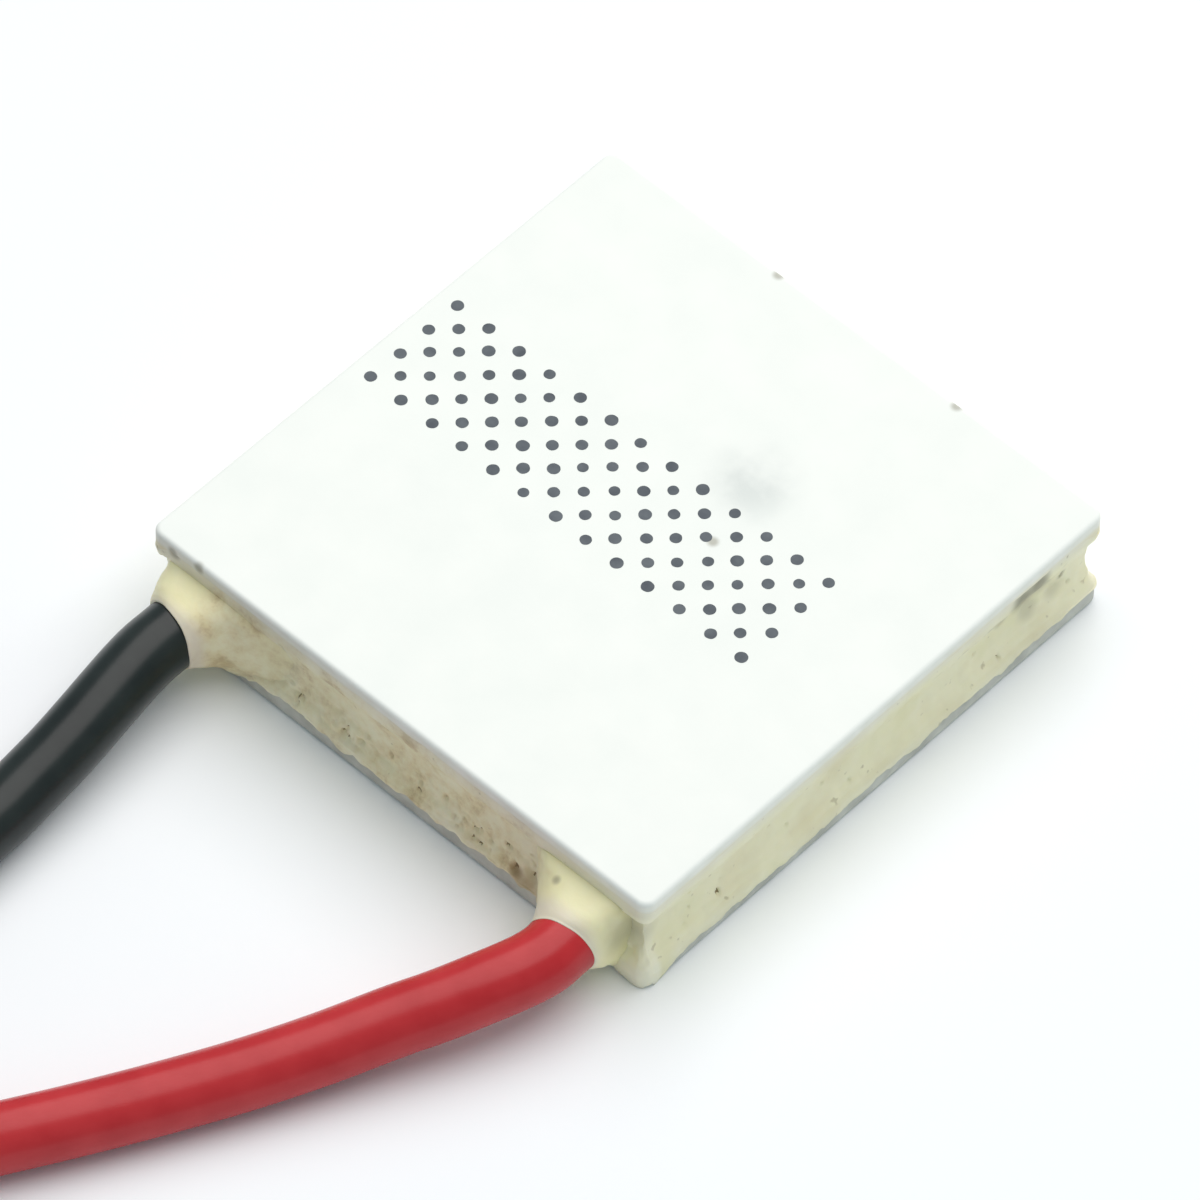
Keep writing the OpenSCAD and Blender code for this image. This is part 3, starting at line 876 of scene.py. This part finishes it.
# Height and distance out of the points that close a dab inside the bead and inside its lead
DAB_START_Z, DAB_END_OUT = 1.5, 0.6
# Distance inside the rim over which the flare reaches its full width
FLARE_OVER = 0.3
# Powers of the fall from the rim to the film: above the lead, below it, of the squareness and
# of the bumps
TALL_FALL, LOW_FALL, SQUARE_FALL, BUMP_FALL = 0.8, 2.0, 1.3, 0.5
# Powers of the section's outline: a round one, and what the rim adds to it
ROUND, SQUARER = 2, 4
# Ripples of a dab's surface and of its edge, and how much more a bump goes outwards
DAB_SWELLS, DAB_LUMPS, DAB_EDGE = (0.07, 1.3), (0.02, 4.0), (0.03, 1.4)
BUMP_OUT = 1.5
# Share of the way out from which the film thins to its edge, and how much of it goes
THIN_FROM, THINNING = 0.9, 0.85
# Distance out from which the film's edge slants, and the power with which it does
SLANT_FROM, SLANT_POWER = 0.35, 1.5


def fall_off(out, power):
    """1 at the plates' rim and 0 where the blob has narrowed to the film."""
    return (1 - share(out / DAB_BODY)) ** power


def dab_point(x, t, angle, left, right, edge, seed):
    """Point of a dab at that share of the way out and that angle round the lead."""
    end_r = LEAD_D / 2 + FILM
    reach, slant_x, slant_z = edge
    out = DAB_START + (reach - DAB_START) * t
    sink = share(-out / FLARE_OVER)
    tall = end_r + (DAB_TOP - EXIT_Z - end_r) * fall_off(out, TALL_FALL)
    low = end_r + (EXIT_Z - DAB_FOOT - end_r) * fall_off(out, LOW_FALL)
    power = ROUND + SQUARER * fall_off(out, SQUARE_FALL)
    cos, sin = math.cos(angle), math.sin(angle)
    half, fall, flare = left if cos < 0 else right
    wide = end_r + (half - end_r) * fall_off(out, fall) + flare * sink
    px = math.copysign(abs(cos) ** (2 / power), cos) * wide
    pz = math.copysign(abs(sin) ** (2 / power), sin) * (tall if sin > 0 else low)
    point = Vector((x + px, -HALF - out, EXIT_Z + pz))
    bump = ripple(point, *DAB_SWELLS, (seed, 0, 0)) + ripple(point, *DAB_LUMPS, (0, seed, 0))
    bump *= fall_off(out, BUMP_FALL) * (1 - sink)
    point += Vector((cos, 0, min(sin, 0))) * bump
    point.y -= bump * BUMP_OUT
    thin = share((t - THIN_FROM) / (1 - THIN_FROM))
    point -= Vector((px, 0, pz)) * (THINNING * FILM / end_r * thin)
    follow = share((out - SLANT_FROM) / (reach - SLANT_FROM)) ** SLANT_POWER
    uneven = ripple(Vector((cos, sin, 0)), *DAB_EDGE, (0, 0, seed))
    point.y -= follow * (slant_x * cos + slant_z * sin + uneven)
    return point


def make_dab(name, node_name, x, left, right, edge, seed):
    """Blob from the gap to a film on the lead. Left and right are each a half width at the rim,
    the power of its fall-off and the flare into the bead; edge is the film's reach and slants."""
    points = [dab_point(x, i / (DAB_RINGS - 1), 2 * math.pi * k / DAB_SIDES, left, right, edge, seed)
              for i in range(DAB_RINGS) for k in range(DAB_SIDES)]
    count = len(points)
    points += [Vector((x, -HALF - DAB_START, DAB_START_Z)), Vector((x, -HALF - DAB_END_OUT, EXIT_Z))]
    faces = grid_faces(DAB_RINGS, DAB_SIDES) + cap_faces(DAB_RINGS, DAB_SIDES, count, count + 1)
    blob = add_mesh(name, [p * MM for p in points], faces, DAB)
    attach(blob, "root")
    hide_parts(node_name)


make_dab("red_sealant_dab", "red_lead_sealant", LEAD_X,
         (1.75, 1.3, 0.25), (0.84, 1.0, 0.0), (1.05, -0.2, 0.03), 3)
make_dab("black_sealant_dab", "black_lead_sealant", -LEAD_X,
         (1.02, 1.1, 0.1), (1.75, 2.2, 0.9), (0.92, 0.2, 0.0), 11)

# ---------------------------------------------------------------- generic ink band
DOT_R = 0.15
DOT_PITCH = 0.47
DOT_ROWS = 7
DOT_CORNERS = 20
# Unevenness of the dots: largest shift of each way, range of sizes, wobble of the outline
DOT_SHIFT_X, DOT_SHIFT_Y = 0.02, 0.015
DOT_SIZES = (0.88, 1.06)
DOT_WOBBLE = 0.08
BAND_LEFT, BAND_RIGHT, BAND_LOW = -6.9, 4.5, -1.05
# Height of the ink over the face
INK_LIFT = 0.004


def dot_outline(x, y, radius):
    """Corners of a slightly uneven dot."""
    corners = []
    for k in range(DOT_CORNERS):
        a = 2 * math.pi * k / DOT_CORNERS
        wobble = 1 + DOT_WOBBLE * noise.noise(Vector((x * 3 + math.cos(a), y * 3, a)))
        corners.append(Vector((x + radius * math.cos(a), y + radius * math.sin(a) * wobble,
                               TOP + INK_LIFT)))
    return corners


def make_ink():
    """Plain band of evenly staggered dots that says nothing, a hair above the face."""
    rnd = random.Random(21)
    points, faces = [], []
    step = DOT_PITCH * 2
    for row in range(DOT_ROWS):
        x = BAND_LEFT + (step / 2 if row % 2 else 0)
        while x < BAND_RIGHT:
            dot_x = x + rnd.uniform(-DOT_SHIFT_X, DOT_SHIFT_X)
            dot_y = BAND_LOW + row * DOT_PITCH + rnd.uniform(-DOT_SHIFT_Y, DOT_SHIFT_Y)
            faces.append(tuple(range(len(points), len(points) + DOT_CORNERS)))
            points += dot_outline(dot_x, dot_y, DOT_R * rnd.uniform(*DOT_SIZES))
            x += step
    ink = add_mesh("ink_band", [p * MM for p in points], faces, INK, smooth=False)
    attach(ink, "root")


make_ink()

# ---------------------------------------------------------------- materials of the CAD nodes
PAINTS = {
    "alumina": ALUMINA, "copper": COPPER, "solder": SOLDER, "n_type_alloy": PELLET_N,
    "p_type_alloy": PELLET_P, "sealant": SEALANT, "sealant_dab": DAB, "tinned_wire": TIN,
    "red_pvc": RED_PVC, "black_pvc": BLACK_PVC,
}
for part in frame["record"]["subparts"]:
    shape = bpy.data.objects.get(part["node"])
    for place in shape.material_slots:
        place.material = PAINTS[part["material_slot"]]

# ---------------------------------------------------------------- floor and light, in metres
FLOOR_REACH = 2
FLOOR = mottled("floor", [(0.3, (0.932, 0.97, 0.992)), (0.7, (0.94, 0.978, 1.0))], 30, 0.9, 0.1)
floor = add_mesh("floor", [(x * FLOOR_REACH, y * FLOOR_REACH, 0)
                           for x, y in ((-1, -1), (1, -1), (1, 1), (-1, 1))],
                 [(0, 1, 2, 3)], FLOOR)

WORLD_LEVEL = 0.37
WORLD_COLOUR = (0.8, 0.95, 1.0)
LAMP_POWER = 1.665
LAMP_COLOUR = (1.0, 0.928, 0.905)
LAMP_SIZE = 0.46
LAMP_AT = (-0.03, 0.14, 0.345)


def make_light():
    """Pale surroundings and one soft square lamp aimed at the module."""
    world = bpy.data.worlds.new("studio")
    world.use_nodes = True
    sky = world.node_tree.nodes["Background"]
    sky.inputs["Color"].default_value = (*WORLD_COLOUR, 1)
    sky.inputs["Strength"].default_value = WORLD_LEVEL
    bpy.context.scene.world = world
    lamp_data = bpy.data.lights.new("softbox", "AREA")
    lamp_data.shape = "SQUARE"
    lamp_data.size = LAMP_SIZE
    lamp_data.energy = LAMP_POWER
    lamp_data.color = LAMP_COLOUR
    lamp = bpy.data.objects.new("softbox", lamp_data)
    lamp.location = LAMP_AT
    lamp.rotation_mode = "QUATERNION"
    lamp.rotation_quaternion = (-Vector(lamp.location)).to_track_quat("-Z", "Y")
    bpy.context.scene.collection.objects.link(lamp)


make_light()
bpy.context.scene.view_settings.view_transform = "Standard"
